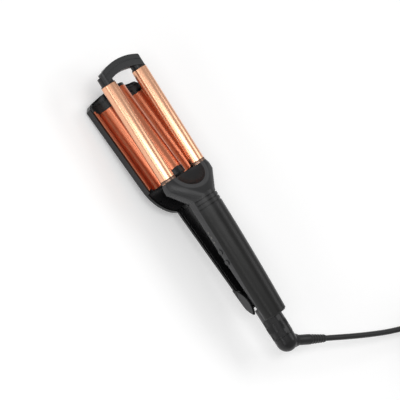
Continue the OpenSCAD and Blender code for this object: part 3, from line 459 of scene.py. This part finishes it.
def eased(points, steps=3):
    """A smooth line through the points (Catmull-Rom), with steps pieces between each two."""
    line = []
    for i in range(len(points) - 1):
        p1, p2 = points[i], points[i + 1]
        p0 = points[i - 1] if i else 2 * p1 - p2
        p3 = points[i + 2] if i + 2 < len(points) else 2 * p2 - p1
        for k in range(steps):
            t = k / steps
            line.append(0.5 * (2 * p1 + (p2 - p0) * t + (2 * p0 - 5 * p1 + 4 * p2 - p3) * t ** 2
                               + (3 * p1 - p0 - 3 * p2 + p3) * t ** 3))
    line.append(points[-1])
    return line


def mains_cord(finish):
    """The cord as one round curve, with its length measured along the route."""
    line = eased(cord_route())
    length = sum((b - a).length for a, b in zip(line, line[1:]))
    curve = bpy.data.curves.new("mains_cord_sheath", "CURVE")
    curve.dimensions = "3D"
    curve.bevel_depth = CORD_R
    curve.bevel_resolution = 3
    curve.use_fill_caps = True
    spline = curve.splines.new("POLY")
    spline.points.add(len(line) - 1)
    for point, place in zip(spline.points, line):
        point.co = (*place, 1)
    spline.use_smooth = True
    curve.materials.append(finish)
    cord = bpy.data.objects.new("mains_cord_sheath", curve)
    bpy.context.collection.objects.link(cord)
    settle(cord, "swivel")
    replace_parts(cord, "mains_cord", "cord_coil", "plug_lead")
    return cord, length


# ---------------------------------------------------------------- barrels

BARREL_WALL = 1.2 * MM
LIP_ROUND = 0.5 * MM


def barrel(name, centre_y, finish):
    """A polished tube with a softly rounded lip at its open end."""
    x0, x1 = BARREL_LOW[0], BARREL_HIGH[0]
    outer, inner = BARREL_R, BARREL_R - BARREL_WALL
    profile = [(x0, outer)]
    for i in range(6):
        angle = math.radians(90 * i / 5)
        profile.append((x1 - LIP_ROUND * (1 - math.sin(angle)),
                        outer - LIP_ROUND * (1 - math.cos(angle))))
    profile += [(x1, inner), (x0, inner)]
    build = turned(profile, (centre_y, AXIS_Z), 128)
    shade(build, 40)
    return new_piece(name, build, finish, "handle")


# ---------------------------------------------------------------- collar ribs

RIB_COUNT = 56
RIB_SIZE = (0.5 * MM, 0.6 * MM, 7.4 * MM)


def collar_ribs(finish):
    """Fine ribs round the collar between its two rows of pads, made with Geometry Nodes."""
    tree = bpy.data.node_groups.new("collar_ribs", "GeometryNodeTree")
    tree.interface.new_socket("Geometry", in_out="OUTPUT", socket_type="NodeSocketGeometry")
    sockets = {}
    for label, kind in (("Rib Count", "NodeSocketInt"), ("Collar Radius", "NodeSocketFloat"),
                        ("Rib Size", "NodeSocketVector"), ("Collar Middle", "NodeSocketVector"),
                        ("Finish", "NodeSocketMaterial")):
        sockets[label] = tree.interface.new_socket(label, in_out="INPUT", socket_type=kind).identifier
    nodes, links = tree.nodes, tree.links
    given = nodes.new("NodeGroupInput").outputs
    ring = nodes.new("GeometryNodeMeshCircle")
    links.new(given["Rib Count"], ring.inputs["Vertices"])
    links.new(given["Collar Radius"], ring.inputs["Radius"])
    rib = nodes.new("GeometryNodeMeshCube")
    links.new(given["Rib Size"], rib.inputs["Size"])
    index = nodes.new("GeometryNodeInputIndex")
    share = nodes.new("ShaderNodeMath")
    share.operation = "DIVIDE"
    links.new(index.outputs[0], share.inputs[0])
    links.new(given["Rib Count"], share.inputs[1])
    angle = nodes.new("ShaderNodeMath")
    angle.operation = "MULTIPLY"
    angle.inputs[1].default_value = 2 * math.pi
    links.new(share.outputs[0], angle.inputs[0])
    turn = nodes.new("ShaderNodeCombineXYZ")
    links.new(angle.outputs[0], turn.inputs["Z"])
    placed = nodes.new("GeometryNodeInstanceOnPoints")
    links.new(ring.outputs["Mesh"], placed.inputs["Points"])
    links.new(rib.outputs["Mesh"], placed.inputs["Instance"])
    links.new(turn.outputs[0], placed.inputs["Rotation"])
    lying = nodes.new("GeometryNodeTransform")
    lying.inputs["Rotation"].default_value = (0, math.pi / 2, 0)
    links.new(placed.outputs[0], lying.inputs["Geometry"])
    links.new(given["Collar Middle"], lying.inputs["Translation"])
    real = nodes.new("GeometryNodeRealizeInstances")
    links.new(lying.outputs[0], real.inputs[0])
    coat = nodes.new("GeometryNodeSetMaterial")
    links.new(real.outputs[0], coat.inputs["Geometry"])
    links.new(given["Finish"], coat.inputs["Material"])
    links.new(coat.outputs[0], nodes.new("NodeGroupOutput").inputs["Geometry"])

    piece = bpy.data.objects.new("collar_ribs", bpy.data.meshes.new("collar_ribs"))
    bpy.context.collection.objects.link(piece)
    ribs = piece.modifiers.new("ribs", "NODES")
    ribs.node_group = tree
    ribs[sockets["Rib Count"]] = RIB_COUNT
    ribs[sockets["Collar Radius"]] = COLLAR_R - 0.1 * MM
    ribs[sockets["Rib Size"]] = RIB_SIZE
    ribs[sockets["Collar Middle"]] = (COLLAR_LOW[0] + 12.5 * MM, 0, COLLAR_Z)
    ribs[sockets["Finish"]] = finish
    apply_modifiers(piece)
    settle(piece, "handle")
    return piece


# ---------------------------------------------------------------- dressed nodes

# node: (finish, record slot, body, width of the rounded edges in millimetres)
DRESSED = {
    "upper_shell": ("soft_black", "soft_black", "handle", 0.35),
    "lower_shell": ("grey_plastic", "grey_plastic", "handle", 0.3),
    "yoke_bowl": ("bowl_painted_shade", "grey_plastic", "handle", 0.2),
    "tip_bridge": ("tip_black", "gloss_black", "handle", 0.5),
    "tip_plugs": ("gloss_black", "gloss_black", "handle", 0.25),
    "swivel_collar": ("gloss_black", "gloss_black", "handle", 0.25),
    "clamp_shell": ("clamp_black", "gloss_black", "clamp", 0.4),
    "wave_plate": ("plate_copper", "copper_coat", "clamp", 0.2),
    "tip_cap": ("tip_black", "soft_black", "clamp", 0.3),
    "base_block": ("gloss_black", "gloss_black", "clamp", 0.3),
    "lever_cover": ("clamp_black", "gloss_black", "clamp", 0.2),
    "hinge_caps": ("grey_plastic", "grey_plastic", "clamp", 0.15),
    "swivel_elbow": ("gloss_black", "gloss_black", "swivel", 0.3),
    "strain_relief": ("cord_rubber", "cord_rubber", "swivel", 0.2),
    "plug_body": ("gloss_black", "soft_black", "swivel", 0.6),
    "plug_pins": ("satin_metal", "satin_metal", "swivel", 0.2),
    "cord_tie": ("soft_black", "soft_black", "swivel", 0.3),
    "power_button": ("grey_plastic", "grey_plastic", "power_button", 0.3),
    "heat_button": ("grey_plastic", "grey_plastic", "heat_button", 0.3),
}


# Nodes that keep their form and wear another finish than their slot's
OWN_FINISH = {
    "barrel_trim_rings": "trim_bronze",
    "lever_leads": "lead_black",
    "clamp_screws": "black_steel",
}


def finish_nodes(finishes):
    """Gives every node that stays as it is a finish, mostly that of its own slot in the record."""
    for part in frame["record"]["subparts"]:
        name = part["node"]
        for slot in frame["nodes"][name].material_slots:
            slot.material = finishes[OWN_FINISH.get(name, part["material_slot"])]


# ---------------------------------------------------------------- studio

def soft_lamp(name, at, aim, width, height, power):
    """A soft rectangular lamp that faces a point."""
    data = bpy.data.lights.new(name, "AREA")
    data.shape = "RECTANGLE"
    data.size, data.size_y = width, height
    data.energy = power
    lamp = bpy.data.objects.new(name, data)
    bpy.context.collection.objects.link(lamp)
    lamp.location = at
    lamp.rotation_mode = "QUATERNION"
    lamp.rotation_quaternion = (Vector(aim) - Vector(at)).to_track_quat("-Z", "Y")


LIT_POINT = (0, 0, 0.04)
FLOOR_HALF = 6
FLOOR_PALE = 0.97
FLOOR_GLOW = 0.14
AIR_LEVEL = 0.52
# name: (place, width, height, power)
LAMPS = {
    "key_lamp": ((0.1, 0.75, 1.4), 0.36, 1.2, 7.5),
    "side_lamp": ((0.0, 1.3, 0.6), 1.2, 0.3, 3),
    "far_lamp": ((-0.2, -1.0, 1.2), 1.0, 0.6, 4.5),
}


def studio():
    """A pale floor, even pale surroundings and three soft lamps."""
    build = bmesh.new()
    bmesh.ops.create_grid(build, x_segments=1, y_segments=1, size=FLOOR_HALF)
    mesh = bpy.data.meshes.new("studio_floor")
    build.to_mesh(mesh)
    build.free()
    floor = bpy.data.objects.new("studio_floor", mesh)
    bpy.context.collection.objects.link(floor)
    pale = (FLOOR_PALE, FLOOR_PALE, FLOOR_PALE, 1)
    mesh.materials.append(Finish("studio_floor", pale, 0.9, specular_ior_level=0.0)
                          .mottle(0.2, 0.03).paler_to_camera(FLOOR_GLOW).material)

    world = bpy.data.worlds.new("studio_air")
    world.use_nodes = True
    world.node_tree.nodes["Background"].inputs["Color"].default_value = (AIR_LEVEL, AIR_LEVEL, AIR_LEVEL, 1)
    bpy.context.scene.world = world

    for name, (at, width, height, power) in LAMPS.items():
        soft_lamp(name, at, LIT_POINT, width, height, power)


# ---------------------------------------------------------------- the whole object

bpy.context.scene.view_settings.view_transform = "Standard"
photo_camera()
finishes = make_finishes()
cord, cord_length = mains_cord(finishes["cord_rubber"])

finish_nodes(finishes)
made = {node: dressed(node, node + "_finished", finishes[finish], body, width * MM)
        for node, (finish, slot, body, width) in DRESSED.items()}
for side, name in ((1, "barrel_left"), (-1, "barrel_right")):
    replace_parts(barrel(name + "_tube", side * AXIS_Y, finishes["copper_coat"]), name)
collar_ribs(finishes["gloss_black"])
studio()
